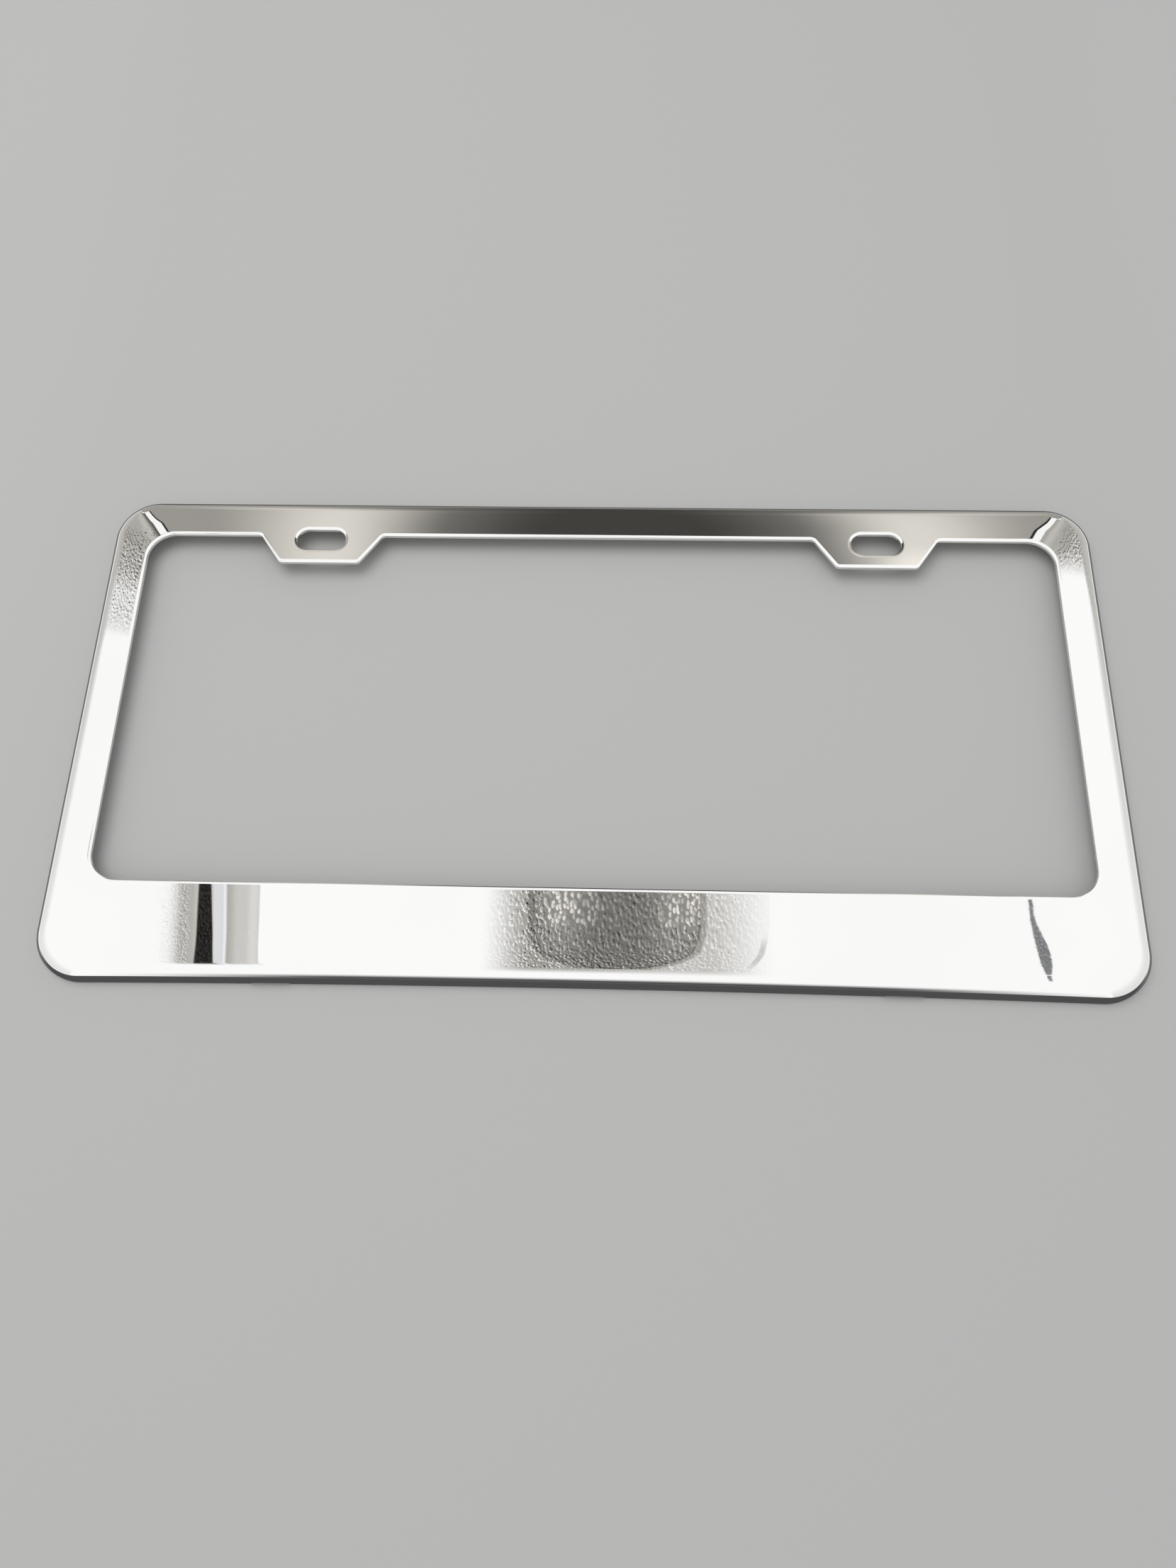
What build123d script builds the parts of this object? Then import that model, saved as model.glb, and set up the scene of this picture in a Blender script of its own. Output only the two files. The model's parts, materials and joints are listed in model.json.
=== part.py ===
from build123d import *
import os
from math import sqrt

# Number plate frame pressed from one sheet of polished stainless steel.
# It lies face up: X runs along the plate, +Y towards the slotted tabs, +Z out of the face.
# The origin is on the rim's resting plane, under the centre of the outline.

# Sheet and outline
sheet = 1.2
outer_length = 315.0
outer_height = 159.2
rim_depth = 6.2
corner_radius = 14.0
inner_bend = 3.3
lower_bow = 1.2

# Window, given by the bars that are left round it
side_bar = 12.8
upper_bar = 13.7
lower_bar = 29.0
window_corner = 8.5

# Slotted tabs that hang from the upper bar
screw_spacing = 177.8
tab_root = 39.7
tab_depth = 10.1
tab_slope = 55.0
tab_corner = 2.0
slot_length = 15.7
slot_width = 7.5
slot_from_top = 15.3

# Straight land behind the front edges, which are polished round
edge_land = 0.3

# Shallow notches in the lower edge of the rim, under the slots
notch_width = 12.0
notch_depth = 1.4
notch_corner = 1.0

# Sizes that follow from these
edge_round = sheet - edge_land
top_line = outer_height / 2
window_length = outer_length - 2 * side_bar
window_height = outer_height - upper_bar - lower_bar
window_top = top_line - upper_bar
slot_line = top_line - slot_from_top

# The long lower edge is drawn in at mid-length: an arc that meets both corner arcs smoothly
half_span = outer_length / 2 - corner_radius
bow_radius = (half_span**2 + lower_bow**2) / (2 * lower_bow) - corner_radius
bow_centre = lower_bow - top_line - bow_radius
bow_end = bow_centre + sqrt(bow_radius**2 - (outer_length / 2) ** 2)

with BuildPart() as plate_frame:
    # Pan: the blank's outline drawn to the depth of the rim, bent over a radius and hollow behind
    with BuildSketch() as outline:
        with BuildLine():
            lower_left = (-outer_length / 2, bow_end)
            lower_right = (outer_length / 2, bow_end)
            Polyline(lower_left, (-outer_length / 2, top_line), (outer_length / 2, top_line), lower_right)
            ThreePointArc(lower_right, (0, lower_bow - top_line), lower_left)
        make_face()
        fillet(outline.vertices(), corner_radius)
    extrude(amount=rim_depth)
    fillet(plate_frame.faces().sort_by(Axis.Z)[-1].edges(), inner_bend + sheet)
    offset(amount=-sheet, openings=plate_frame.faces().sort_by(Axis.Z)[0])

    # Window, with the two tabs left standing in its upper edge
    with BuildSketch(Plane.XY.offset(rim_depth)) as window:
        with Locations((0, window_top)):
            Rectangle(window_length, window_height, align=(Align.CENTER, Align.MAX))
            with GridLocations(screw_spacing, 0, 2, 1):
                Trapezoid(
                    tab_root,
                    tab_depth,
                    tab_slope,
                    rotation=180,
                    align=(Align.CENTER, Align.MIN),
                    mode=Mode.SUBTRACT,
                )
        side_groups = window.vertices().group_by(Axis.X)
        fillet([turn for group in side_groups[1:-1] for turn in group], tab_corner)
        side_groups = window.vertices().group_by(Axis.X)
        fillet(side_groups[0] + side_groups[-1], window_corner)
    extrude(amount=-rim_depth, mode=Mode.SUBTRACT)

    # Screw slots, long enough to take up the play between plate and car
    with BuildSketch(Plane.XY.offset(rim_depth)):
        with Locations((0, slot_line)):
            with GridLocations(screw_spacing, 0, 2, 1):
                SlotOverall(slot_length, slot_width)
    extrude(amount=-rim_depth, mode=Mode.SUBTRACT)

    # Punched edges polished round on the front
    face = plate_frame.faces().sort_by(Axis.Z)[-1]
    fillet(face.inner_wires().edges(), edge_round)

    # Notches in the lower edge of the rim
    with BuildSketch(Plane.XZ.offset(top_line)) as notches:
        with GridLocations(screw_spacing, 0, 2, 1):
            Rectangle(notch_width, notch_depth, align=(Align.CENTER, Align.MIN))
        fillet(notches.vertices().group_by(Axis.Y)[-1], notch_corner)
    extrude(amount=-lower_bar / 2, mode=Mode.SUBTRACT)

plate_frame.part.label = "plate_frame"

os.makedirs("parts", exist_ok=True)
export_step(plate_frame.part, "parts/plate_frame.step")
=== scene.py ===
# %% [markdown]
# # A polished number plate frame
# The real frame is one blank of stainless sheet. A press punches its window and slots and turns its rim
# down all round, and the front is then buffed to a mirror. The measured model gives its sizes. This
# lesson makes the smooth mesh, its finishes, and a soft light for the mirror to show.

# %% The measured model
import json
from math import acos, atan2, cos, pi, radians, sin, tan

import bmesh
import bpy
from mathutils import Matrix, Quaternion, Vector


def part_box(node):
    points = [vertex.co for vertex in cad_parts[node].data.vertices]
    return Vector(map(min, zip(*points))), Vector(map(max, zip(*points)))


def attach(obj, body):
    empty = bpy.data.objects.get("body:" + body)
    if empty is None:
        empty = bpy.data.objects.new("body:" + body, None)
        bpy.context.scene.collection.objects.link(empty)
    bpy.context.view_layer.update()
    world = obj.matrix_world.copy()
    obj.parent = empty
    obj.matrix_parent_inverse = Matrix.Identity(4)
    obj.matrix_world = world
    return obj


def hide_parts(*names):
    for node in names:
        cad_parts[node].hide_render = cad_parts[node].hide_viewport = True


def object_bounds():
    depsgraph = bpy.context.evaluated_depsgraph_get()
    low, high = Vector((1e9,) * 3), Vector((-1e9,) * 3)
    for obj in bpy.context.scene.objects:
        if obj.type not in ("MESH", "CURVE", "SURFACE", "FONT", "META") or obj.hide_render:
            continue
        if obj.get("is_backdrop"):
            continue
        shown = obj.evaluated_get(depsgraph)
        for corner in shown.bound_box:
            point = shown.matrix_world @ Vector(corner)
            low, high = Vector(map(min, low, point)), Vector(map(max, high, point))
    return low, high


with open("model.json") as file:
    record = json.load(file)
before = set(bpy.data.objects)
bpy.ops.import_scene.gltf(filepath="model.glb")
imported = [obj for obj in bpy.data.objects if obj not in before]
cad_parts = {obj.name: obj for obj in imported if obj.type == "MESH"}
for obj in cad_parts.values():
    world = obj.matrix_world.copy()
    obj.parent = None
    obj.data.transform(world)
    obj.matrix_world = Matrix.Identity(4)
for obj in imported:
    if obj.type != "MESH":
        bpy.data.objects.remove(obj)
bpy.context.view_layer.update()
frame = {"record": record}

scene = bpy.context.scene

# %% [markdown]
# ## Sizes
# The outline, the rim's depth and the screw slots come from the measured model and its record, so that
# they are written once only. The sheet, the bends and the bars are not in there and are named here. All
# lengths are in metres, and mm makes the small ones easy to read.

# %% Sizes from the measured model
mm = 0.001
low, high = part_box("plate_frame")
outer_length = high.x - low.x
outer_height = high.y - low.y
rim_depth = high.z - low.z
mounts = {mount["name"]: mount for mount in frame["record"]["mounts"]}
slots = mounts["plate_screw_slots"]
screw_spacing = slots["dims"]["spacing_x_mm"] * mm
slot_length = slots["dims"]["slot_length_mm"] * mm
slot_radius = slots["dims"]["hole_r_mm"] * mm
slot_line = slots["pos_m"][1]
print(f"frame {outer_length / mm:.1f} x {outer_height / mm:.1f} x {rim_depth / mm:.1f} mm")

# %% Sizes of the sheet, its bars and tabs
sheet = 1.2 * mm
corner_radius = 14.0 * mm
lower_bow = 1.2 * mm
side_bar, upper_bar, lower_bar = 12.8 * mm, 13.7 * mm, 29.0 * mm
window_corner = 8.5 * mm
tab_root, tab_depth, tab_corner = 39.7 * mm, 10.1 * mm, 2.0 * mm
tab_slope = radians(55)
print(f"bars of {side_bar / mm:.1f}, {upper_bar / mm:.1f} and {lower_bar / mm:.1f} mm")

# %% Sizes of its bends and edges
inner_bend = 3.3 * mm
ease_width, ease_bend, ease_slope = 7.0 * mm, 360.0 * mm, radians(0.8)
roll_width, roll_bend, roll_slope = 0.7 * mm, 3.8 * mm, radians(13)
edge_round = 0.33 * mm
notch_width, notch_depth, notch_shoulder = 12.0 * mm, 1.4 * mm, 0.9 * mm
print(f"rim bent over {(inner_bend + sheet) / mm:.1f} mm, from {ease_width / mm:.1f} mm inside the edge")

# %% [markdown]
# ## Wiring nodes from Python
# Node trees are easier to read as sums than as boxes and links. This class holds one output socket,
# and an operator on it adds the Math node that works the result out. Any other node comes from its
# method node, which sets the node's own options first and then fills its sockets.


# %% A socket that Python can calculate with
class Wire:
    def __init__(self, tree, socket=None):
        self.tree = tree
        self.socket = socket

    def node(self, kind, settings=None, sockets=None, output=0):
        """A new node: its options, then a value, a wire or a list of wires for each socket."""
        made = self.tree.nodes.new(kind)
        for name, value in (settings or {}).items():
            if name == "cases":
                for _ in range(value - 2):
                    made.index_switch_items.new()
            else:
                setattr(made, name, value)
        for key, value in (sockets or {}).items():
            for item in value if isinstance(value, list) else [value]:
                if isinstance(item, Wire):
                    self.tree.links.new(item.socket, made.inputs[key])
                else:
                    made.inputs[key].default_value = item
        return Wire(self.tree, made.outputs[output] if made.outputs else None)

    def outputs(self):
        """Every output of this wire's node."""
        return [Wire(self.tree, socket) for socket in self.socket.node.outputs]

    def math(self, operation, *terms):
        return self.node("ShaderNodeMath", {"operation": operation}, dict(enumerate(terms)))

    def __add__(self, other):
        return self.math("ADD", self, other)

    def __sub__(self, other):
        return self.math("SUBTRACT", self, other)

    def __mul__(self, other):
        return self.math("MULTIPLY", self, other)

    def __truediv__(self, other):
        return self.math("DIVIDE", self, other)

    def __pow__(self, exponent):
        return self.math("POWER", self, exponent)

    def __rsub__(self, other):
        return self.math("SUBTRACT", other, self)

    def __rtruediv__(self, other):
        return self.math("DIVIDE", other, self)

    def __rpow__(self, base):
        return self.math("POWER", base, self)

    __radd__ = __add__
    __rmul__ = __mul__

    def __neg__(self):
        return 0.0 - self

    def __abs__(self):
        return self.math("ABSOLUTE", self)

    def at_least(self, floor):
        return self.math("MAXIMUM", self, floor)

    def ramp(self, low, high, start=0.0, end=1.0):
        """A smooth step from start, where the value is low, to end, where it is high."""
        span = {"Value": self, "From Min": low, "From Max": high, "To Min": start, "To Max": end}
        return self.node("ShaderNodeMapRange", {"interpolation_type": "SMOOTHSTEP"}, span)

    def fade(self, low, high):
        """A smooth step down, from 1 where the value is low to 0 where it is high."""
        return self.ramp(low, high, 1.0, 0.0)

    def band(self, middle, half_width, soft):
        """One within half_width of the middle, and none beyond it."""
        return abs(self - middle).fade(half_width - soft / 2, half_width + soft / 2)

    def over(self, mask, value):
        """This wire, with the value painted over it where the mask is 1."""
        return self + (value - self) * mask

    def colour_mix(self, first, second):
        """This wire as the factor between two colours."""
        return self.node("ShaderNodeMix", {"data_type": "RGBA"}, {0: self, 6: first, 7: second}, 2)


print("wires can add, subtract, multiply, divide and take powers")

# %% [markdown]
# ## The steel
# Three finishes meet on the one sheet. The front is a mirror: nearly no roughness, a haze where the
# buff passed less often, and the slight waviness that pressed sheet keeps. The rim was dragged over the
# die and only brushed by the buff, so it is satin with upright marks. The back kept the grain of the
# rolling mill. Three materials would meet in hard lines. One material with two masks lets the finishes
# run into each other, and its patterns read Object coordinates, so they keep their real scale.

# %% A new material and its coordinates
steel = bpy.data.materials.new("polished_steel")
steel.use_nodes = True
steel.node_tree.nodes.clear()
start = Wire(steel.node_tree)
spot = start.node("ShaderNodeTexCoord", output=3)
up = start.node("ShaderNodeSeparateXYZ", {}, {0: spot}, 2)


def grain(scale, detail):
    """Noise on the piece, with its scale in waves a metre along each axis."""
    sockets = {"Vector": spot, "Scale": scale}
    stretched = start.node("ShaderNodeMapping", {"vector_type": "POINT"}, sockets)
    sockets = {"Vector": stretched, "Scale": 1.0, "Detail": detail, "Roughness": 0.55}
    return start.node("ShaderNodeTexNoise", {}, sockets)


print("steel reads Object coordinates")

# %% Where each finish is
mill_side = start.node("ShaderNodeAttribute", {"attribute_name": "mill_side"}, output=2)
bend_end = rim_depth - inner_bend - sheet
buff_below, buff_above = 0.6 * mm, 0.8 * mm
flank = up.fade(bend_end - buff_below, bend_end + buff_above)
print(f"satin rim below {bend_end / mm:.1f} mm")

# %% Marks of each finish
haze = grain((16, 16, 16), 3.0).ramp(0.38, 0.72)
waves = grain((26, 26, 26), 1.0)
buff_marks = grain((30, 1900, 30), 3.0)
draw_marks = grain((700, 700, 24), 3.0)
mill_grain = grain((45, 2600, 900), 4.0)
print("marks: haze, waves and buffing in front, drawing on the rim, rolling behind")

# %% Roughness of each finish
mirror_level, haze_gain, buff_gain = 0.010, 0.014, 0.012
satin_level, draw_gain = 0.16, 0.14
mill_level, mill_gain = 0.26, 0.16
mirror_rough = mirror_level + haze * haze_gain + (buff_marks - 0.5) * buff_gain
satin_rough = satin_level + draw_marks * draw_gain
mill_rough = mill_level + mill_grain * mill_gain
roughness = mirror_rough.over(flank, satin_rough).over(mill_side, mill_rough)
print(f"roughness from {mirror_level:.2f} on the mirror to {mill_level + mill_gain:.2f} behind")

# %% Colour of each finish
mirror_clear, mirror_hazy = (0.885, 0.88, 0.865, 1), (0.865, 0.86, 0.845, 1)
satin_light, satin_dark = (0.84, 0.835, 0.825, 1), (0.74, 0.735, 0.725, 1)
mill_light, mill_dark = (0.66, 0.66, 0.65, 1), (0.56, 0.56, 0.555, 1)
mirror_colour = haze.colour_mix(mirror_clear, mirror_hazy)
satin_colour = draw_marks.colour_mix(satin_light, satin_dark)
mill_colour = mill_grain.colour_mix(mill_light, mill_dark)
colour = mill_side.colour_mix(flank.colour_mix(mirror_colour, satin_colour), mill_colour)
print("colours of mirror, satin and mill finish mixed")

# %% The shader
wave_height, draw_height, mill_height = 0.035, 0.004, 0.005
relief = waves * wave_height + draw_marks * flank * draw_height + mill_grain * mill_side * mill_height
bump = start.node("ShaderNodeBump", {}, {"Strength": 1.0, "Distance": 1.0 * mm, "Height": relief})
body = {"Base Color": colour, "Metallic": 1.0, "Roughness": roughness, "Normal": bump}
metal = start.node("ShaderNodeBsdfPrincipled", {}, body)
start.node("ShaderNodeOutputMaterial", {}, {"Surface": metal})
print("steel has", len(steel.node_tree.nodes), "nodes")

# %% [markdown]
# ## The blank's edges
# Everything on the frame follows four closed lines: the outline, the window and the two slots. They could
# be drawn by hand as curves, but worked out from the sizes as arcs and straight runs they stay true when
# a size changes. The long lower edge is an arc too, drawn in a little at mid-length, and it meets the two
# corner arcs smoothly. All lines run anticlockwise, so a curve's normal points away from its middle: off
# the sheet on the outline, into the sheet at an opening.

# %% Arcs and rounded corners
bow_steps, corner_steps, slot_steps, turn_steps = 360, 40, 28, 14


def arc(centre, radius, begin, end, steps):
    turns = [begin + (end - begin) * step / steps for step in range(steps + 1)]
    return [(centre[0] + radius * cos(turn), centre[1] + radius * sin(turn)) for turn in turns]


def rounded_loop(corners):
    """A closed line through corners (x, y, radius), each one rounded by its own radius."""
    line = []
    for index, (x, y, radius) in enumerate(corners):
        back = Vector(corners[index - 1][:2]) - Vector((x, y))
        ahead = Vector(corners[(index + 1) % len(corners)][:2]) - Vector((x, y))
        back.normalize()
        ahead.normalize()
        half = acos(max(-1.0, min(1.0, back.dot(ahead)))) / 2
        centre = Vector((x, y)) + (back + ahead).normalized() * (radius / sin(half))
        first = Vector((x, y)) + back * (radius / tan(half)) - centre
        last = Vector((x, y)) + ahead * (radius / tan(half)) - centre
        begin = atan2(first.y, first.x)
        swing = (atan2(last.y, last.x) - begin + pi) % (2 * pi) - pi
        line += arc(centre, radius, begin, begin + swing, turn_steps)
    return line


print(f"outer corners in {corner_steps} steps, the window's in {turn_steps}")

# %% Outline with the bowed lower edge
top_line = outer_height / 2
half_span = outer_length / 2 - corner_radius
bow_radius = (half_span**2 + lower_bow**2) / (2 * lower_bow) - corner_radius
bow_centre = lower_bow - top_line - bow_radius
bow_turn = atan2(corner_radius - top_line - bow_centre, half_span)
corner_low, corner_high = corner_radius - top_line, top_line - corner_radius
outline = arc((0, bow_centre), bow_radius, pi - bow_turn, bow_turn, bow_steps)
outline += arc((half_span, corner_low), corner_radius, bow_turn - pi, 0, corner_steps)[1:]
outline += arc((half_span, corner_high), corner_radius, 0, pi / 2, corner_steps)
outline += arc((-half_span, corner_high), corner_radius, pi / 2, pi, corner_steps)
outline += arc((-half_span, corner_low), corner_radius, pi, 2 * pi - bow_turn, corner_steps)[:-1]
print(f"outline of {len(outline)} points, lower edge on a radius of {bow_radius:.2f} m")

# %% Window with its two tabs
window_side = outer_length / 2 - side_bar
window_top = top_line - upper_bar
window_bottom = lower_bar - top_line
tab_tip = tab_root - 2 * tab_depth / tan(tab_slope)
window_corners = [
    (-window_side, window_bottom, window_corner),
    (window_side, window_bottom, window_corner),
    (window_side, window_top, window_corner),
]
for middle in (screw_spacing / 2, -screw_spacing / 2):
    window_corners += [
        (middle + tab_root / 2, window_top, tab_corner),
        (middle + tab_tip / 2, window_top - tab_depth, tab_corner),
        (middle - tab_tip / 2, window_top - tab_depth, tab_corner),
        (middle - tab_root / 2, window_top, tab_corner),
    ]
window_corners.append((-window_side, window_top, window_corner))
edges = [outline, rounded_loop(window_corners)]
print(f"window with {len(window_corners)} corners, tabs {tab_tip / mm:.1f} mm wide at the tip")

# %% Slots
slot_reach = slot_length / 2 - slot_radius
for middle in (-screw_spacing / 2, screw_spacing / 2):
    right_end = arc((middle + slot_reach, slot_line), slot_radius, -pi / 2, pi / 2, slot_steps)
    left_end = arc((middle - slot_reach, slot_line), slot_radius, pi / 2, 3 * pi / 2, slot_steps)
    edges.append(right_end + left_end)
print("points on each closed edge:", [len(edge) for edge in edges])

# %% The edges as one curve object
drawing = bpy.data.curves.new("blank_edges", "CURVE")
drawing.dimensions = "3D"
for edge in edges:
    spline = drawing.splines.new("POLY")
    spline.points.add(len(edge) - 1)
    spline.use_cyclic_u = True
    for point, (x, y) in zip(spline.points, edge):
        point.co = (x, y, 0, 1)
blank = bpy.data.objects.new("blank_edges", drawing)
scene.collection.objects.link(blank)
print(len(drawing.splines), "closed lines drawn")

# %% [markdown]
# ## The press
# A press gives the sheet one section all along an edge. Bevels and extrusions could copy that, but
# Geometry Nodes do what the press does: they sweep a section round each line, the turned-down rim round
# the outline, and round the openings the edge that the punch rolled over. That roll is slight, yet in a
# mirror it draws a bright line. The rim's bend sets in gradually: the face falls away by less than a
# degree over its last few millimetres, because a sudden bend would break every reflection there. The
# flat between the two sweeps is filled twice, front and back. A narrow strip of flat belongs to each
# sweep, so that the mirror's shading stays exactly level right up to the bends. The attribute mill_side
# rides on the section: 0 on polished steel, 1 on the back.

# %% The press and its sizes
rim_strip, edge_strip = 0.4 * mm, 0.2 * mm
press = bpy.data.node_groups.new("press_frame", "GeometryNodeTree")
press.is_modifier = True
press.interface.new_socket("Edges", in_out="INPUT", socket_type="NodeSocketGeometry")
press.interface.new_socket("Pressing", in_out="OUTPUT", socket_type="NodeSocketGeometry")
press_sizes = {
    "Sheet": sheet,
    "Rim depth": rim_depth,
    "Inner bend": inner_bend,
    "Ease width": ease_width,
    "Ease slope": tan(ease_slope),
    "Ease bend": ease_bend,
    "Rim reach": ease_width + ease_bend * tan(ease_slope / 2) + rim_strip,
    "Roll width": roll_width,
    "Roll drop": roll_width * tan(roll_slope),
    "Roll bend": roll_bend,
    "Edge round": edge_round,
    "Opening reach": roll_width + roll_bend * tan(roll_slope / 2) + edge_strip,
    "Notch spacing": screw_spacing,
    "Notch width": notch_width,
    "Notch depth": notch_depth,
    "Bend steps": 16,
}
print(len(press_sizes), "sizes for the press")

# %% Its named inputs
keys = {}
for title, value in press_sizes.items():
    kind = "NodeSocketInt" if isinstance(value, int) else "NodeSocketFloat"
    keys[title] = press.interface.new_socket(title, in_out="INPUT", socket_type=kind).identifier
steel_input = press.interface.new_socket("Steel", in_out="INPUT", socket_type="NodeSocketMaterial")
keys["Steel"] = steel_input.identifier
bench = Wire(press)
inputs = bench.node("NodeGroupInput").outputs()
size = {wire.socket.name: wire for wire in inputs if wire.socket.name}
print("press inputs:", ", ".join(size))


# %% How a section is made
def at(outward, height):
    """A section's corner. A swept section's X points outwards and its Y down."""
    return bench.node("ShaderNodeCombineXYZ", {}, {"X": outward, "Y": -height})


def by_corner(kind, values):
    """The value that belongs to each corner, counted along the section."""
    corner = bench.node("GeometryNodeInputIndex")
    cases = {str(index): value for index, value in enumerate(values)}
    settings = {"data_type": kind, "cases": len(values)}
    return bench.node("GeometryNodeIndexSwitch", settings, {"Index": corner, **cases})


def section(corners):
    """A section from corners (outward, height, bend radius, mill side)."""
    line = bench.node("GeometryNodeMeshLine", {}, {"Count": len(corners)})
    places = by_corner("VECTOR", [at(*corner[:2]) for corner in corners])
    placed = bench.node("GeometryNodeSetPosition", {}, {"Geometry": line, "Position": places})
    marks = {"Name": "mill_side", "Value": by_corner("FLOAT", [corner[3] for corner in corners])}
    marked = bench.node("GeometryNodeStoreNamedAttribute", {}, {"Geometry": placed, **marks})
    bent = {"Curve": bench.node("GeometryNodeMeshToCurve", {}, {"Mesh": marked})}
    bent["Count"] = size["Bend steps"]
    bent["Radius"] = by_corner("FLOAT", [corner[2] for corner in corners])
    return bench.node("GeometryNodeFilletCurve", {"mode": "POLY"}, bent)


print("a section is a bent line of corners")

# %% Section of the rim
depth = size["Rim depth"]
under = depth - size["Sheet"]
rim_reach = size["Rim reach"]
outer_bend = size["Inner bend"] + size["Sheet"]
eased = size["Ease width"] * size["Ease slope"]
under_eased = (size["Ease width"] - size["Sheet"]) * size["Ease slope"]
rim_section = section(
    [
        (-rim_reach, depth, 0.0, 0.0),
        (-size["Ease width"], depth, size["Ease bend"], 0.0),
        (0.0, depth - eased, outer_bend, 0.0),
        (0.0, 0.0, 0.0, 0.0),
        (-size["Sheet"], 0.0, 0.0, 1.0),
        (-size["Sheet"], under - under_eased, size["Inner bend"], 1.0),
        (-size["Ease width"], under, size["Ease bend"], 1.0),
        (-rim_reach, under, 0.0, 1.0),
    ]
)
print(f"rim section reaches {press_sizes['Rim reach'] / mm:.2f} mm in from the outline")

# %% Section of a punched edge
edge_reach = size["Opening reach"]
opening_section = section(
    [
        (edge_reach, depth, 0.0, 0.0),
        (size["Roll width"], depth, size["Roll bend"], 0.0),
        (0.0, depth - size["Roll drop"], size["Edge round"], 0.0),
        (0.0, under, 0.0, 0.0),
        (edge_reach, under, 0.0, 1.0),
    ]
)
print(f"punched edge reaches {press_sizes['Opening reach'] / mm:.2f} mm into the sheet")

# %% Paths and sweeps
number = bench.node("GeometryNodeInputIndex")
equal = {"data_type": "INT", "operation": "EQUAL"}
is_outline = bench.node("FunctionNodeCompare", equal, {2: number, 3: 0})
level = bench.node("GeometryNodeSetCurveNormal", {"mode": "Z_UP"}, {"Curve": size["Edges"]})
parting = {"Geometry": level, "Selection": is_outline}
rim_path = bench.node("GeometryNodeSeparateGeometry", {"domain": "CURVE"}, parting, 0)
opening_paths = bench.node("GeometryNodeSeparateGeometry", {"domain": "CURVE"}, parting, 1)
rim_sweep = {"Curve": rim_path, "Profile Curve": rim_section}
rim = bench.node("GeometryNodeCurveToMesh", {}, rim_sweep)
opening_sweep = {"Curve": opening_paths, "Profile Curve": opening_section}
punched = bench.node("GeometryNodeCurveToMesh", {}, opening_sweep)
print("sweeps wired:", len(press.nodes), "nodes so far")


# %% The flat between the sweeps
def moved_out(path, distance):
    """The path, moved sideways in its own plane."""
    normal = bench.node("GeometryNodeInputNormal")
    step = bench.node("ShaderNodeVectorMath", {"operation": "SCALE"}, {0: normal, "Scale": distance})
    return bench.node("GeometryNodeSetPosition", {}, {"Geometry": path, "Offset": step})


rings = [moved_out(rim_path, -rim_reach), moved_out(opening_paths, edge_reach)]
ring = bench.node("GeometryNodeJoinGeometry", {}, {"Geometry": rings})
flat = bench.node("GeometryNodeFillCurve", {"mode": "TRIANGLES"}, {"Curve": ring})


def laid_at(height, mark):
    """The flat at a height, marked as polished or mill side."""
    shift = bench.node("ShaderNodeCombineXYZ", {}, {"Z": height})
    lifted = bench.node("GeometryNodeTransform", {}, {"Geometry": flat, "Translation": shift})
    marks = {"Geometry": lifted, "Name": "mill_side", "Value": mark}
    return bench.node("GeometryNodeStoreNamedAttribute", {}, marks)


front_flat, back_flat = laid_at(depth, 0.0), laid_at(under, 1.0)
print("flats wired:", len(press.nodes), "nodes so far")

# %% Notches in the rim's lower edge
edge_low, edge_high = 0.01 * mm, 0.02 * mm
place = bench.node("GeometryNodeInputPosition")
place_x, place_y, place_z = bench.node("ShaderNodeSeparateXYZ", {}, {0: place}).outputs()
from_notch = abs(abs(place_x) - size["Notch spacing"] / 2)
notch_half = size["Notch width"] / 2
inside = from_notch.fade(notch_half - notch_shoulder, notch_half)
on_edge = place_z.fade(edge_low, edge_high) * place_y.fade(-top_line / 2, 0.0)
lift = bench.node("ShaderNodeCombineXYZ", {}, {"Z": inside * on_edge * size["Notch depth"]})
notched = bench.node("GeometryNodeSetPosition", {}, {"Geometry": rim, "Offset": lift})
print(f"notches of {notch_width / mm:.0f} x {notch_depth / mm:.1f} mm")

# %% Joined into one closed sheet
weld = 0.002 * mm
pressed = [notched, punched, front_flat, back_flat]
joined = bench.node("GeometryNodeJoinGeometry", {}, {"Geometry": pressed})
closed = bench.node("GeometryNodeMergeByDistance", {}, {"Geometry": joined, "Distance": weld})
smooth = bench.node("GeometryNodeSetShadeSmooth", {}, {"Geometry": closed})
real = bench.node("GeometryNodeRealizeInstances", {}, {"Geometry": smooth})
finished = bench.node("GeometryNodeSetMaterial", {}, {"Geometry": real, "Material": size["Steel"]})
bench.node("NodeGroupOutput", {}, {"Pressing": finished})
print("press has", len(press.nodes), "nodes")

# %% [markdown]
# ## From drawing to mesh
# The press runs once as a modifier on the drawn edges. Its result becomes a plain mesh, whose faces are
# turned outwards. Bends stay smooth and the cut edges sharp, because only edges steeper than the angle
# are marked sharp. The enclosed volume shows whether the sheet is closed and as thick as it should be.

# %% Press it
stroke = blank.modifiers.new("press", "NODES")
stroke.node_group = press
for title, value in press_sizes.items():
    stroke[keys[title]] = value
stroke[keys["Steel"]] = steel
depsgraph = bpy.context.evaluated_depsgraph_get()
pressing = bpy.data.meshes.new_from_object(blank.evaluated_get(depsgraph), depsgraph=depsgraph)
bpy.data.objects.remove(blank)
print(len(pressing.polygons), "faces pressed")

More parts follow.
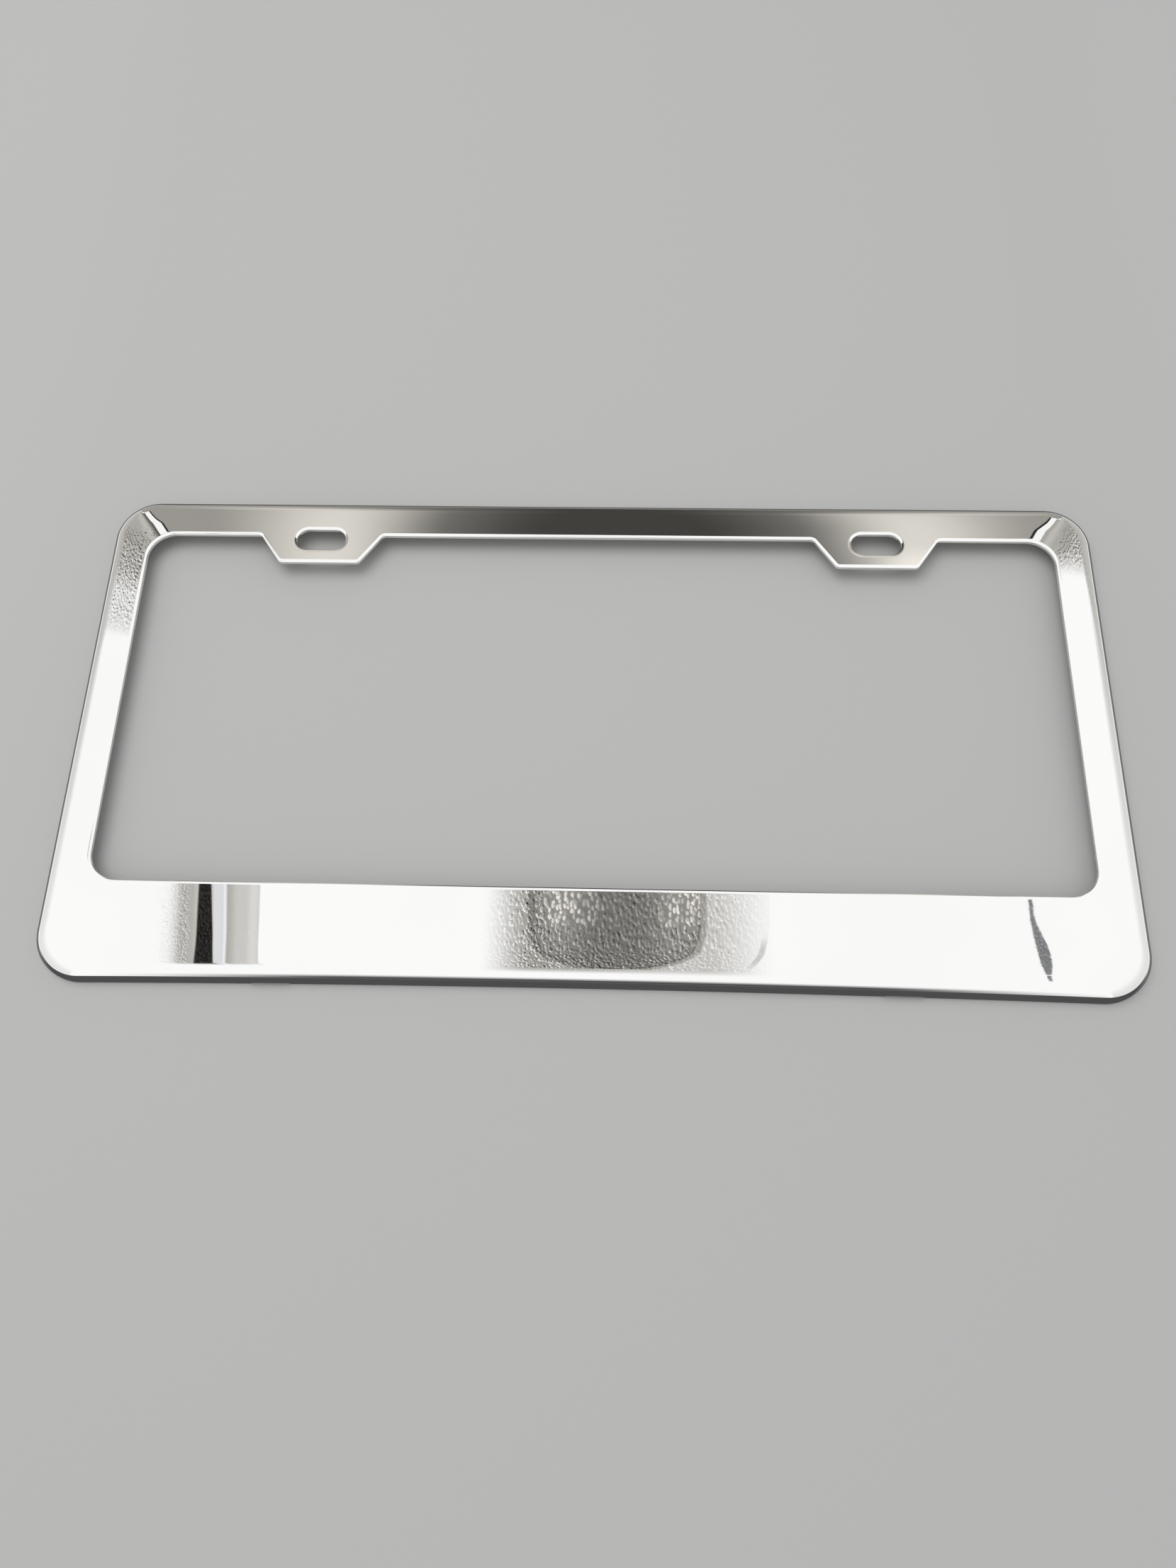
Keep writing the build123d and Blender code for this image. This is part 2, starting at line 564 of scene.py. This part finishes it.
# %% Faces outwards, cut edges sharp
sharp_angle = radians(38)
shape = bmesh.new()
shape.from_mesh(pressing)
bmesh.ops.recalc_face_normals(shape, faces=shape.faces)
open_edges = sum(not edge.is_manifold for edge in shape.edges)
volume = shape.calc_volume()
shape.to_mesh(pressing)
shape.free()
pressing.set_sharp_from_angle(angle=sharp_angle)
print(f"{open_edges} open edges, {volume / mm**3:.0f} cubic mm of steel")

# %% Ride on the measured body
pressing.name = "plate_frame_steel"
plate_frame = bpy.data.objects.new("plate_frame_steel", pressing)
scene.collection.objects.link(plate_frame)
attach(plate_frame, "root")
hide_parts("plate_frame")
print(plate_frame.name, "rides on root")

# %% [markdown]
# ## Floor and light
# A plain pale floor takes the shadow. One broad lamp and an even world light it at a plain level, so
# the floor shows the colour that it is given. The lamp stays out of the mirror: a lamp's disc in the
# steel would look like a stain.


# %% Floor
def level_corners(left, right, front, back, height):
    """The corners of a level panel."""
    return [(left, front, height), (right, front, height), (right, back, height), (left, back, height)]


floor_reach = 4.0
floor_mesh = bpy.data.meshes.new("floor")
floor_corners = level_corners(-floor_reach, floor_reach, -floor_reach, floor_reach, 0)
floor_mesh.from_pydata(floor_corners, [], [(0, 1, 2, 3)])
floor = bpy.data.objects.new("floor", floor_mesh)
scene.collection.objects.link(floor)
paper = bpy.data.materials.new("pale_paper")
paper.use_nodes = True
paper_shader = paper.node_tree.nodes["Principled BSDF"]
paper_shader.inputs["Base Color"].default_value = (0.56, 0.56, 0.555, 1)
paper_shader.inputs["Roughness"].default_value = 0.9
paper_shader.inputs["Specular IOR Level"].default_value = 0.1
floor_mesh.materials.append(paper)
floor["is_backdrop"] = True
print(f"floor {2 * floor_reach:.0f} m across")

# %% World and lamp
world = bpy.data.worlds.new("studio")
scene.world = world
world.use_nodes = True
world.node_tree.nodes["Background"].inputs["Color"].default_value = (0.62, 0.62, 0.62, 1)
world.node_tree.nodes["Background"].inputs["Strength"].default_value = 1.0
lamp_data = bpy.data.lights.new("soft_lamp", "AREA")
lamp_data.shape = "DISK"
lamp_data.size = 1.1
lamp_data.energy = 5.0
lamp = bpy.data.objects.new("soft_lamp", lamp_data)
lamp.location = (-0.35, 0.25, 1.2)
lamp.rotation_mode = "QUATERNION"
lamp.rotation_quaternion = (-lamp.location).to_track_quat("-Z", "Y")
lamp.visible_glossy = False
scene.collection.objects.link(lamp)
print(f"lamp of {lamp_data.energy:.0f} W, {lamp_data.size:.1f} m wide")

# %% [markdown]
# ## What the mirror shows
# Polished steel has hardly any look of its own: it shows the room. In a product photograph that room is
# a light tent, a box of white cloth, lined here and there with hammered foil. A round picture of a room
# would do for a far horizon, but a tent is near. So flat panels stand round the frame at a tent's real
# distance, and what they show slides over the steel as it should when the view moves. Reflections alone
# see them. They give the white bars, the grey upper bar with its two bright lobes, and the crisp seams
# and pebbles that prove how flat the polish is.

# %% Greys and colours of cloth
black, white, warm = (0, 0, 0, 1), (0.985, 0.99, 1.0, 1), (1.0, 0.965, 0.9, 1)
brown, lilac = (1.0, 0.97, 0.92, 1), (0.95, 0.97, 1.0, 1)
dim_cloth, lit_cloth = 0.3, 0.9
gamma = 2.2


def tone(grey):
    """The light of a grey from 0 to 255, as a picture shows it."""
    return (grey / 255) ** gamma


def cloth_tint(light):
    """White cloth that turns warm where it is dim."""
    return light.ramp(dim_cloth, lit_cloth).colour_mix(warm, white)


print(f"a middle grey of 128 is a light of {tone(128):.2f}")

# %% A panel that reflections alone see
glow_strength = 1.1


def panel(name, corners, paint):
    """A flat glowing panel. The function paint turns its coordinates into a colour."""
    mesh = bpy.data.meshes.new(name)
    mesh.from_pydata(corners, [], [(0, 1, 2, 3)])
    cloth = bpy.data.materials.new(name)
    cloth.use_nodes = True
    cloth.node_tree.nodes.clear()
    canvas = Wire(cloth.node_tree)
    place = canvas.node("ShaderNodeTexCoord", output=3)
    colour = paint(canvas, *canvas.node("ShaderNodeSeparateXYZ", {}, {0: place}).outputs())
    glow = canvas.node("ShaderNodeEmission", {}, {"Color": colour, "Strength": glow_strength})
    canvas.node("ShaderNodeOutputMaterial", {}, {"Surface": glow})
    mesh.materials.append(cloth)
    made = bpy.data.objects.new(name, mesh)
    made.visible_camera = made.visible_diffuse = False
    made.visible_shadow = made.visible_transmission = False
    scene.collection.objects.link(made)
    made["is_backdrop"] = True
    print("panel", name, "with", len(cloth.node_tree.nodes), "nodes")


print("panels glow at", glow_strength)

# %% [markdown]
# ## Hammered foil
# The foil is a field of small domes. A Voronoi pattern gives each point its distance from the middle of
# its own cell. A ring at some distance, bright on the side that faces the light and dark on the other,
# reads as a dome at a glance, and needs no geometry at all.

# %% Pebbles of the foil
ripple_scale, ripple_shift = 0.9, (0.9, 0.9, 0.0)
rim_at, rim_half, rim_soft = 0.37, 0.10, 0.10
lit_from = (-2.6, -1.9, 0.0)
top_inner, top_outer = 0.25, 0.55


def hammered(canvas, across, along):
    """Each pebble's rim, lit or shaded from 1 to -1, and its rounded top, from 0 to 1."""
    even = canvas.node("ShaderNodeCombineXYZ", {}, {"X": across, "Y": along})
    noise = {"Vector": even, "Scale": ripple_scale}
    ripple = canvas.node("ShaderNodeTexNoise", {"noise_dimensions": "2D"}, noise, 1)
    uneven = {0: ripple, 1: ripple_shift, 2: even}
    place = canvas.node("ShaderNodeVectorMath", {"operation": "MULTIPLY_ADD"}, uneven)
    cells = {"Vector": place, "Scale": 1.0, "Randomness": 1.0}
    pattern = canvas.node("ShaderNodeTexVoronoi", {"voronoi_dimensions": "2D"}, cells)
    away, shade, middle = pattern.outputs()[:3]
    strength = canvas.node("ShaderNodeSeparateColor", {}, {0: shade})
    offset = canvas.node("ShaderNodeVectorMath", {"operation": "SUBTRACT"}, {0: place, 1: middle})
    slant = canvas.node("ShaderNodeVectorMath", {"operation": "DOT_PRODUCT"}, {0: offset, 1: lit_from}, 1)
    rims = slant * away.band(rim_at, rim_half, rim_soft) * (0.75 + 1.5 * strength)
    return rims + 0.35 * abs(rims), away.fade(top_inner, top_outer) * strength


print(f"a pebble's rim lies {rim_at} of a cell from its middle")

# %% [markdown]
# ## The ceiling
# The lower bar mirrors the tent's ceiling. Its dark field is the port that the camera looks through,
# lined with foil, in a collar of shaded cloth. To the left hangs a dark strip between grey bands, and at
# the right wall the cloth leaves a thin gap. Each edge is a smooth step of a sum of x and y, so it is as
# crisp as the polish shows it.

# %% Sizes of the tent
tent_left, tent_right, tent_back, tent_front = -0.380, 0.343, 0.405, -0.460
tent_top, wall_top, overhang = 0.606, 0.585, 0.030
print(f"tent {tent_right - tent_left:.2f} x {tent_back - tent_front:.2f} x {tent_top:.2f} m")

# %% The shaded collar round the port
collar_reach, collar_drop, collar_bulge = 0.1235, 0.150, 1.6
left_to_right = -0.03, 0.06
shade_from, shade_ends, shade_greys = 0.064, (0.111, 0.130), (0.63, 0.79)
full_light, pebble_gain = 1.02, 0.5
edge_at, edge_side, edge_shade = (0.99, 1.0), (0.06, 0.09), 0.05
crease_at, crease_side, crease_shade = (0.965, 0.03, 0.02), (0.08, 0.1), 0.3
crease_front, crease_back = (0.04, 0.062), (0.076, 0.090)


def bulging(aside, below, reach, drop, bulge):
    """A rounded outline: 1 on its edge, less inside it."""
    return (aside / reach) ** bulge + (below / drop) ** bulge


def collar_light(x, y, aside, below, rims):
    """Light of the cloth round the port, with a faint edge and a crease on its right."""
    shade_to = x.ramp(*left_to_right, *shade_ends)
    shade_grey = x.ramp(*left_to_right, *shade_greys)
    cloth = aside.ramp(shade_from, shade_to, shade_grey, 1.0) ** gamma
    cloth = cloth + rims * (full_light - cloth) * pebble_gain
    collar = bulging(aside, below, collar_reach, collar_drop, collar_bulge)
    cloth = cloth * (1.0 - edge_shade * collar.fade(*edge_at) * x.ramp(*edge_side))
    crease = collar.band(*crease_at) * y.fade(*crease_back) * y.ramp(*crease_front)
    return cloth * (1.0 - crease_shade * crease * x.ramp(*crease_side))


print(f"collar {2 * collar_reach / mm:.0f} mm wide")

# %% The port, hemmed and lined with foil
port_middle, port_level = 0.0054, 0.100
port_reach, port_drop, port_bulge = 0.0684, 0.060, 2.1
lining_light, lining_gain, lining_aside, lining_back = tone(117), 0.11, (0.015, 0.05), (0.03, 0.09)
middle_rims, outer_rims, outer_from = 0.14, 0.10, (0.3, 0.8)
left_glint, right_glint = (-0.033, 0.020, 0.02), (0.062, 0.018, 0.02)
glint_back, glint_light = (0.088, 0.102), 0.6
port_edge, port_hem = (0.96, 1.0), (1.03, 0.09, 0.10)
hem_run, hem_shades = (-0.02, 0.06), (0.38, 0.4)


def port_light(x, y, rims, tops):
    """Light round and in the camera's port, and how far a point is in it."""
    aside = abs(x - port_middle)
    below = (port_level - y).at_least(0.0)
    port = bulging(aside, below, port_reach, port_drop, port_bulge)
    glints = (x.band(*left_glint) + x.band(*right_glint)) * y.ramp(*glint_back)
    lining = lining_light + lining_gain * aside.ramp(*lining_aside) * y.ramp(*lining_back)
    lining = lining + rims * (middle_rims + outer_rims * port.ramp(*outer_from))
    lining = lining + tops * glints * glint_light
    within = port.fade(*port_edge)
    hem = port.band(*port_hem) * x.ramp(*hem_run, *hem_shades)
    cloth = collar_light(x, y, aside, below, rims)
    return cloth.over(within, lining) * (1.0 - hem), within


print(f"port {2 * port_reach / mm:.0f} mm wide")

# %% The dark strip between two grey bands
strip_place, strip_lean = -0.3217, 0.1
strip_half, strip_taper, strip_soft = 0.0090, 0.03, 0.0007
strip_dark, strip_glint = tone(38), 0.02
grey_left, grey_right, grey_light, grey_ragged = (-0.033, -0.019), (0.0445, 0.0460), tone(202), 0.004
foil_band, foil_band_gain = (-0.0240, 0.0110, 0.006), 0.4
dim_band, dim_band_gain = (-0.0145, 0.0065, 0.006), 0.13
lit_band, lit_band_gain = (0.0405, 0.0040, 0.006), 0.1
shadow_start, shadow_end, shadow_gain = (0.0165, 0.0185), (0.0185, 0.028), 0.16
white_line, line_light = (0.0165, 0.0015, 0.002), tone(240)
pale_band, pale_light = (0.0110, 0.0040, 0.002), tone(224)


def strip_light(strip, y, rims):
    """Light by the distance from the strip's middle line, white far from it."""
    ragged = strip + rims * grey_ragged
    grey = ragged.ramp(*grey_left) * strip.fade(*grey_right)
    light = 1.0 - (1.0 - grey_light) * grey
    light = light + rims * strip.band(*foil_band) * foil_band_gain
    light = light - strip.band(*dim_band) * dim_band_gain
    light = light + strip.band(*lit_band) * lit_band_gain
    light = light - strip.ramp(*shadow_start) * strip.fade(*shadow_end) * shadow_gain
    light = light.over(strip.band(*white_line), line_light)
    light = light.over(strip.band(*pale_band), pale_light)
    beyond = abs(strip) - (strip_half - strip_taper * y)
    dark = strip_dark + rims.at_least(0.0) * strip_glint
    return light.over(beyond.fade(-strip_soft, strip_soft), dark)


print(f"strip {2 * strip_half / mm:.0f} mm wide at mid-depth")

# %% The thin gap at the right wall
gap_place, gap_lean, gap_bend = 0.3370, 0.1, 0.105
gap_width, gap_belly, gap_soft = 0.0032, 0.0063, 0.0004
gap_front, gap_back = (0.034, 0.041), (0.130, 0.132)
belly_front, belly_back = (0.040, 0.075), (0.078, 0.112)
thread, thread_light = (0.0483, 0.0008, 0.0008), 0.8
gap_light, gap_glint, gap_ragged = tone(122), 0.12, 0.0004


def gap_mask(x, y, rims):
    """1 in the gap, which bulges along its middle and is crossed by one thread."""
    gap = x - gap_lean * (gap_bend - y).at_least(0.0) - gap_place + rims * gap_ragged
    width = gap_width + gap_belly * y.fade(*belly_back) * y.ramp(*belly_front)
    inside = gap.ramp(-gap_soft, gap_soft) * (gap - width).fade(-gap_soft, gap_soft)
    ends = y.ramp(*gap_front) * y.fade(*gap_back)
    return inside * ends * (1.0 - thread_light * y.band(*thread))


print(f"gap {gap_width / mm:.1f} to {(gap_width + gap_belly) / mm:.1f} mm wide")

# %% The ceiling with all three
pebble_wide, pebble_long = 0.0030, 0.0052
fine_wide, fine_long = 0.0018, 0.0024
port_front, port_back = (-0.40, 0.042), (0.132, 0.15)
strip_front, strip_back = (-0.12, 0.042), (0.15, 0.17)
lilac_band = (0.012, 0.006, 0.004)


def ceiling_paint(canvas, x, y, z):
    rims, tops = hammered(canvas, x / pebble_wide, y / pebble_long)
    fine_rims = hammered(canvas, x / fine_wide, y / fine_long)[0]
    light, port = port_light(x, y, rims, tops)
    near = y.ramp(*port_front) * y.fade(*port_back)
    light = 1.0 - near * (1.0 - light)
    strip = x + strip_lean * y - strip_place
    striped = y.ramp(*strip_front) * y.fade(*strip_back)
    light = light - striped * (1.0 - strip_light(strip, y, fine_rims))
    tint = (port * near).colour_mix(cloth_tint(light), brown)
    tint = strip.band(*lilac_band).colour_mix(tint, lilac)
    gap = gap_mask(x, y, fine_rims)
    light = light.over(gap, gap_light + fine_rims.at_least(0.0) * gap_glint)
    return light.colour_mix(black, gap.colour_mix(tint, lilac))


ceiling_left, ceiling_right = tent_left - overhang, tent_right + overhang
ceiling = level_corners(ceiling_left, ceiling_right, tent_front, tent_back, tent_top)
panel("tent_ceiling", ceiling, ceiling_paint)

# %% [markdown]
# ## The walls
# The upper bar and its tabs mirror the back wall, which is dim in the middle and has a bright lobe on
# each side that leans outwards with height. The upper corners mirror the side walls, where white cloth
# turns into foil and then grey cloth, and ends in a white hem with a dark line. Towards the floor the
# side walls are shaded, and the rim's bend shows that as a soft grey edge along the bars.

# %% Back wall with two bright lobes
lobe_middle, lobe_level, lobe_leans = 0.0046, 0.505, (0.30, 0.39)
lobe_start, lobe_top, lobe_end = 0.141, 0.234, 0.347
lobe_light, lobe_growth, lobe_foot = 0.40, 1.25, (0.0, 0.30)
wall_light, side_gain, side_rise = 0.055, 0.274, (0.054, 0.276)
patch, patch_gain, patch_foot = (0.256, 0.022, 0.040), 0.15, (0.525, 0.560)
seam_halves, seam_soft, seam_dark = {tent_left: 0.0019, tent_right: 0.0026}, 0.001, tone(30)


def back_paint(canvas, x, y, z):
    tall = (z - lobe_level).at_least(-0.10)
    aside = abs(x - lobe_middle) - x.ramp(-0.01, 0.01, *lobe_leans) * tall
    lobe = aside.ramp(lobe_start, lobe_top) * aside.fade(lobe_top, lobe_end)
    light = wall_light + side_gain * aside.ramp(*side_rise)
    light = light + lobe_light * lobe * (1.0 + lobe_growth * tall) * z.ramp(*lobe_foot)
    light = light + patch_gain * x.band(*patch) * z.ramp(*patch_foot)
    for seam, half in seam_halves.items():
        light = light.over(x.band(seam, half, seam_soft), seam_dark)
    return light.colour_mix(black, warm)


def wall_across(y):
    """The corners of a wall from the left to the right side."""
    return [(tent_left, y, 0), (tent_right, y, 0), (tent_right, y, tent_top), (tent_left, y, tent_top)]


panel("tent_back", wall_across(tent_back), back_paint)

# %% Paint of the side walls
eye_level = 0.473
side_pebble_wide, side_pebble_long, pebble_slant = 0.0030, 0.0060, 0.61
foil_edge, foil_fade, foil_ragged, grey_edge = 0.010, 0.018, 0.006, 0.028
foil_shade, grey_shade, foil_gain, rim_shade = 0.22, 0.36, 0.6, 0.4
hem_light, hem_step, hem_line = 0.96, 0.001, 0.008
glow_gain, glow_inset, glow_half, glow_soft = 0.1, 0.010, 0.005, 0.01
floor_front, floor_back, floor_run, floor_rise = 0.80, 0.52, (-0.05, 0.20), (0.05, 0.40)


def side_paint(foil_from, foil_to, grey_from, lean, lean_to, hem, line_grey):
    """Paint for one side wall. Its places are distances to the back, taken at eye_level."""

    def paint(canvas, x, y, z):
        across = (y - pebble_slant * z) / side_pebble_wide
        rims = hammered(canvas, across, z / side_pebble_long)[0]
        backward = y + lean * (eye_level - z)
        ragged = backward + rims * foil_edge
        lined = ragged.ramp(foil_from, foil_from + foil_edge)
        light = 1.0 - foil_shade * lined
        light = light - grey_shade * backward.ramp(grey_from, grey_from + grey_edge)
        upper = y + lean_to * (eye_level - z) + rims * foil_ragged
        foil = lined * upper.fade(foil_to - foil_fade, foil_to)
        light = light + (rims - rim_shade * abs(rims)) * foil * foil_gain
        light = light + glow_gain * y.band(hem - glow_inset, glow_half, glow_soft)
        light = light.over(y.ramp(hem, hem + hem_step), hem_light)
        line = y.ramp(hem - hem_line, hem) * y.fade(hem, hem + hem_step)
        light = light.over(line, tone(line_grey))
        by_floor = y.ramp(*floor_run, floor_front, floor_back)
        return by_floor.over(z.ramp(*floor_rise), light).colour_mix(black, cloth_tint(light))

    return paint


print(f"side walls shade to {floor_back} of full light by the floor")

# %% Side walls, lined with foil near the back
left_look = {"foil_from": 0.2770, "foil_to": 0.3770, "grey_from": 0.3140}
left_look.update({"lean": 0.44, "lean_to": 0.44, "hem": 0.3950, "line_grey": 85})
right_look = {"foil_from": 0.3395, "foil_to": 0.3705, "grey_from": 0.3425}
right_look.update({"lean": 0.6, "lean_to": 0.0, "hem": 0.3930, "line_grey": 165})


def wall_along(x):
    """The corners of a wall from the front to the back."""
    return [(x, tent_front, 0), (x, tent_back, 0), (x, tent_back, wall_top), (x, tent_front, wall_top)]


panel("tent_left", wall_along(tent_left), side_paint(**left_look))
panel("tent_right", wall_along(tent_right), side_paint(**right_look))

# %% Front flap, dark near the floor
flap_rise, flap_grey, flap_aside = (0.04, 0.26), tone(75), (0.15, 0.32)


def front_paint(canvas, x, y, z):
    dark = z.ramp(*flap_rise, flap_grey, 1.0)
    return dark.over(abs(x).ramp(*flap_aside), 1.0).colour_mix(black, white)


panel("tent_front", wall_across(tent_front), front_paint)

# %% [markdown]
# ## Cards of painted shade on the floor
# A mirror on a pale floor would lose its outline, because the rim shows the floor beside it. Like the dark
# card a studio lays there, these cards lie just above the floor. They glow grey as painted shade, darkest
# next to the frame, and reflections alone see them, so the floor stays plain and the polish gets a thin
# dark line all round, a painted reflection.

# %% Painted shade of the cards
shade_dark_within, shade_pale_beyond = 0.004, 0.050
front_run, front_shade_greys, front_aside = (-0.30, -0.08), (tone(125), tone(78)), (0.17, 0.26)
side_shade_grey, back_shade_greys = tone(105), (tone(95), tone(150))


# Painted shade: grey, darkest near the frame's front and white well to the sides, for the front rim to
# mirror.
def front_card_paint(canvas, x, y, z):
    dark = y.ramp(*front_run, *front_shade_greys)
    return dark.over(abs(x).ramp(*front_aside), 1.0).colour_mix(black, white)


# Painted shade: grey right beside the frame's sides, turning white further out.
def side_card_paint(canvas, x, y, z):
    beside = abs(x) - outer_length / 2
    return beside.ramp(shade_dark_within, shade_pale_beyond, side_shade_grey, 1.0).colour_mix(black, white)


# Painted shade: warm grey right behind the frame, paler further back.
def back_card_paint(canvas, x, y, z):
    behind = y - top_line
    return behind.ramp(shade_dark_within, shade_pale_beyond, *back_shade_greys).colour_mix(black, warm)


print(f"cards turn pale within {shade_pale_beyond / mm:.0f} mm of the frame")

# %% Four cards of painted shade round the frame
card_height, card_line, card_tuck = 0.3 * mm, lower_bow - top_line, 0.146
cards = {
    "front_shade_card": (tent_left, tent_right, tent_front, card_line, front_card_paint),
    "left_shade_card": (tent_left, -card_tuck, card_line, tent_back, side_card_paint),
    "right_shade_card": (card_tuck, tent_right, card_line, tent_back, side_card_paint),
    "back_shade_card": (-card_tuck, card_tuck, window_top, tent_back, back_card_paint),
}
for name, (*limits, paint) in cards.items():
    panel(name, level_corners(*limits, card_height), paint)

# %% [markdown]
# ## Camera
# The camera stands a third of a metre over the frame, a little in front of it and looking down, as in
# the photograph. Its place and lens come from fitting a pinhole camera to the frame's edges.

# %% Camera
camera_data = bpy.data.cameras.new("camera")
camera_data.sensor_width = 36.0
camera_data.lens = 26.853
camera_data.clip_start = 0.01
camera = bpy.data.objects.new("camera", camera_data)
camera.location = Vector((10.35, -144.48, 326.62)) * mm
aim = Vector((-0.57, -19.0, 6.2)) * mm
roll = radians(-3.73)
straight = (aim - camera.location).to_track_quat("-Z", "Y")
camera.rotation_mode = "QUATERNION"
camera.rotation_quaternion = straight @ Quaternion((0, 0, 1), roll)
scene.collection.objects.link(camera)
scene.camera = camera
scene.view_settings.view_transform = "Standard"
print(f"camera {camera.location.z / mm:.0f} mm up, with a lens of {camera_data.lens:.1f} mm")

# %% [markdown]
# ## Size of the mesh
# The smooth mesh has to fill the same box as the measured model, whose sizes are printed near the start.
# The mesh's box is printed here.

# %% The mesh's box
low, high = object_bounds()
print("visual box from", [round(v, 4) for v in low], "to", [round(v, 4) for v in high])
